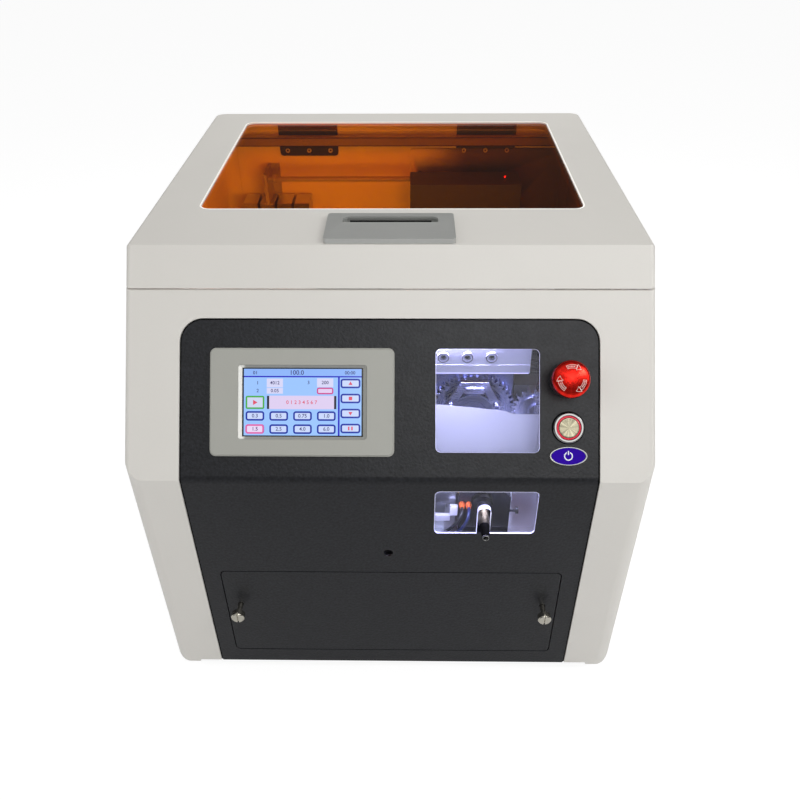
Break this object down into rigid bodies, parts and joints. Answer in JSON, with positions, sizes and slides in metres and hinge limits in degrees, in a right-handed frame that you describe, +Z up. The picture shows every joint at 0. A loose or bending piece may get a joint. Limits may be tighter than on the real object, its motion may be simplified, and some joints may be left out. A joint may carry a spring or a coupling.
{
  "type": "wire stripping crimping machine",
  "caption": "Bench machine with a leaning front and a hinged amber lid that strips a wire end and crimps a ferrule on it.",
  "frame": {"origin": "middle of the overall box, on the surface that the feet stand on", "axes": "+X to the operator's right, +Y to the rear, +Z up"},
  "size_m": [0.43, 0.507, 0.4136],
  "materials": {
    "cream_paint": "fine textured powder coat",
    "panel_paint": "dark grey textured powder coat",
    "zinc_sheet": "zinc plated sheet",
    "rubber": "matt",
    "clear_acrylic": "polished clear",
    "amber_acrylic": "polished amber",
    "frame_plastic": "moulded, fine grain",
    "display": "lit display under glass",
    "black_plastic": "moulded",
    "chrome": "polished",
    "aluminium": "milled and clear anodised",
    "white_sheet": "satin white",
    "black_anodised": "black anodised",
    "dark_steel": "blackened",
    "steel": "ground",
    "nickel": "nickel plated",
    "orange_plastic": "moulded",
    "red_anodised": "red metallic",
    "grip_zinc": "satin grey",
    "lamp": "opal diffuser"
  },
  "bodies": {
    "chassis": {"outer_shell": "cream_paint", "front_panel": "panel_paint", "base_plate": "zinc_sheet", "rear_panel": "cream_paint", "feet": "rubber", "upper_window": "clear_acrylic", "lower_window": "clear_acrylic", "screen_frame": "frame_plastic", "screen_glass": "display", "stop_collar": "black_plastic", "power_bezel": "chrome", "wire_nozzle": "black_anodised", "nozzle_tip": "nickel", "mech_deck": "aluminium", "feeder_frame": "aluminium", "top_beam": "aluminium", "inner_guard": "white_sheet", "crimp_housing": "dark_steel", "crimp_motor": "black_anodised", "clamp_block": "black_anodised", "clamp_cylinder": "aluminium", "strip_cylinder": "aluminium", "air_fittings": "orange_plastic", "guide_rails": "steel", "driver_box": "black_anodised", "spool_spindle": "steel", "spindle_bracket": "zinc_sheet", "valve_block": "aluminium", "fan_frame": "black_plastic", "power_inlet": "black_plastic", "hinge_leaves": "zinc_sheet", "hinge_pins": "steel", "socket_screws": "nickel", "power_supply": "aluminium", "drawer_rails": "zinc_sheet", "lamp_bar": "lamp"},
    "lid": {"lid_shell": "cream_paint", "lid_window": "amber_acrylic", "lid_grip": "grip_zinc", "lid_leaves": "zinc_sheet"},
    "drawer": {"drawer_front": "panel_paint", "drawer_bin": "zinc_sheet"},
    "screw_left": {"thumbscrew_left": "nickel"},
    "screw_right": {"thumbscrew_right": "nickel"},
    "stop_plunger": {"stop_stem": "steel"},
    "stop_knob": {"stop_head": "red_anodised"},
    "power_key": {"power_button": "nickel"},
    "carriage": {"strip_carriage": "aluminium"},
    "blade_up": {"blade_upper": "steel"},
    "blade_low": {"blade_lower": "steel"},
    "clamp_left": {"jaw_left": "steel"},
    "clamp_right": {"jaw_right": "steel"},
    "crimp_ring": {"crimp_gear": "dark_steel", "arch_lever": "steel"},
    "pinion": {"crimp_pinion": "steel"},
    "die_up": {"die_top": "steel"},
    "die_down": {"die_bottom": "steel"},
    "die_l": {"die_left": "steel"},
    "die_r": {"die_right": "steel"},
    "fan_blades": {"fan_rotor": "black_plastic"}
  },
  "joints": [
    {"name": "lid_hinge", "type": "hinge", "parent": "chassis", "child": "lid", "pos_m": [0, 0.24149, 0.37832], "axis": [-1, 0, 0], "range_deg": [0, 100]},
    {"name": "drawer_slide", "type": "slide", "parent": "chassis", "child": "drawer", "axis": [0, -1, 0], "range_m": [0, 0.2]},
    {"name": "thumbscrew_left_turn", "type": "hinge", "parent": "drawer", "child": "screw_left", "pos_m": [-0.1398, -0.23449, 0.0995], "axis": [0, -1, 0], "continuous": true},
    {"name": "thumbscrew_right_turn", "type": "hinge", "parent": "drawer", "child": "screw_right", "pos_m": [0.1398, -0.23449, 0.0995], "axis": [0, -1, 0], "continuous": true},
    {"name": "stop_press", "type": "slide", "parent": "chassis", "child": "stop_plunger", "axis": [0, 0.7955, -0.606], "range_m": [0, 0.0045], "stiffness_N_per_m": 900, "springref_m": -0.006},
    {"name": "stop_twist", "type": "hinge", "parent": "stop_plunger", "child": "stop_knob", "pos_m": [0.1425, -0.18462, 0.32047], "axis": [0, -0.7955, 0.606], "range_deg": [0, 40], "stiffness_Nm_per_rad": 0.05, "springref_deg": -17.19},
    {"name": "power_press", "type": "slide", "parent": "chassis", "child": "power_key", "axis": [0, 0.7955, -0.606], "range_m": [0, 0.002], "stiffness_N_per_m": 700, "springref_m": -0.003},
    {"name": "strip_pull", "type": "slide", "parent": "chassis", "child": "carriage", "axis": [0, 1, 0], "range_m": [0, 0.016]},
    {"name": "blade_upper_close", "type": "slide", "parent": "carriage", "child": "blade_up", "axis": [0, 0, -1], "range_m": [0, 0.0036]},
    {"name": "blade_lower_close", "type": "slide", "parent": "carriage", "child": "blade_low", "axis": [0, 0, 1], "range_m": [0, 0.0036]},
    {"name": "jaw_left_close", "type": "slide", "parent": "chassis", "child": "clamp_left", "axis": [1, 0, 0], "range_m": [0, 0.0026]},
    {"name": "jaw_right_close", "type": "slide", "parent": "chassis", "child": "clamp_right", "axis": [-1, 0, 0], "range_m": [0, 0.0026]},
    {"name": "crimp_turn", "type": "hinge", "parent": "chassis", "child": "crimp_ring", "pos_m": [0.0795, -0.07549, 0.21], "axis": [0, -1, 0], "range_deg": [0, 20]},
    {"name": "pinion_turn", "type": "hinge", "parent": "chassis", "child": "pinion", "pos_m": [0.1435, -0.07549, 0.21], "axis": [0, -1, 0], "range_deg": [-34, 0]},
    {"name": "die_top_close", "type": "slide", "parent": "chassis", "child": "die_up", "axis": [0, 0, -1], "range_m": [0, 0.002]},
    {"name": "die_bottom_close", "type": "slide", "parent": "chassis", "child": "die_down", "axis": [0, 0, 1], "range_m": [0, 0.002]},
    {"name": "die_left_close", "type": "slide", "parent": "chassis", "child": "die_l", "axis": [1, 0, 0], "range_m": [0, 0.002]},
    {"name": "die_right_close", "type": "slide", "parent": "chassis", "child": "die_r", "axis": [-1, 0, 0], "range_m": [0, 0.002]},
    {"name": "fan_spin", "type": "hinge", "parent": "chassis", "child": "fan_blades", "pos_m": [0.118, 0.22949, 0.132], "axis": [0, 1, 0], "continuous": true}
  ],
  "couplings": [
    {"joint": "blade_lower_close", "follows": "blade_upper_close", "ratio": 1},
    {"joint": "jaw_right_close", "follows": "jaw_left_close", "ratio": 1},
    {"joint": "pinion_turn", "follows": "crimp_turn", "ratio": -1.6667},
    {"joint": "die_top_close", "follows": "crimp_turn", "m_per_rad": 0.005385},
    {"joint": "die_bottom_close", "follows": "crimp_turn", "m_per_rad": 0.005385},
    {"joint": "die_left_close", "follows": "crimp_turn", "m_per_rad": 0.005385},
    {"joint": "die_right_close", "follows": "crimp_turn", "m_per_rad": 0.005385}
  ]
}
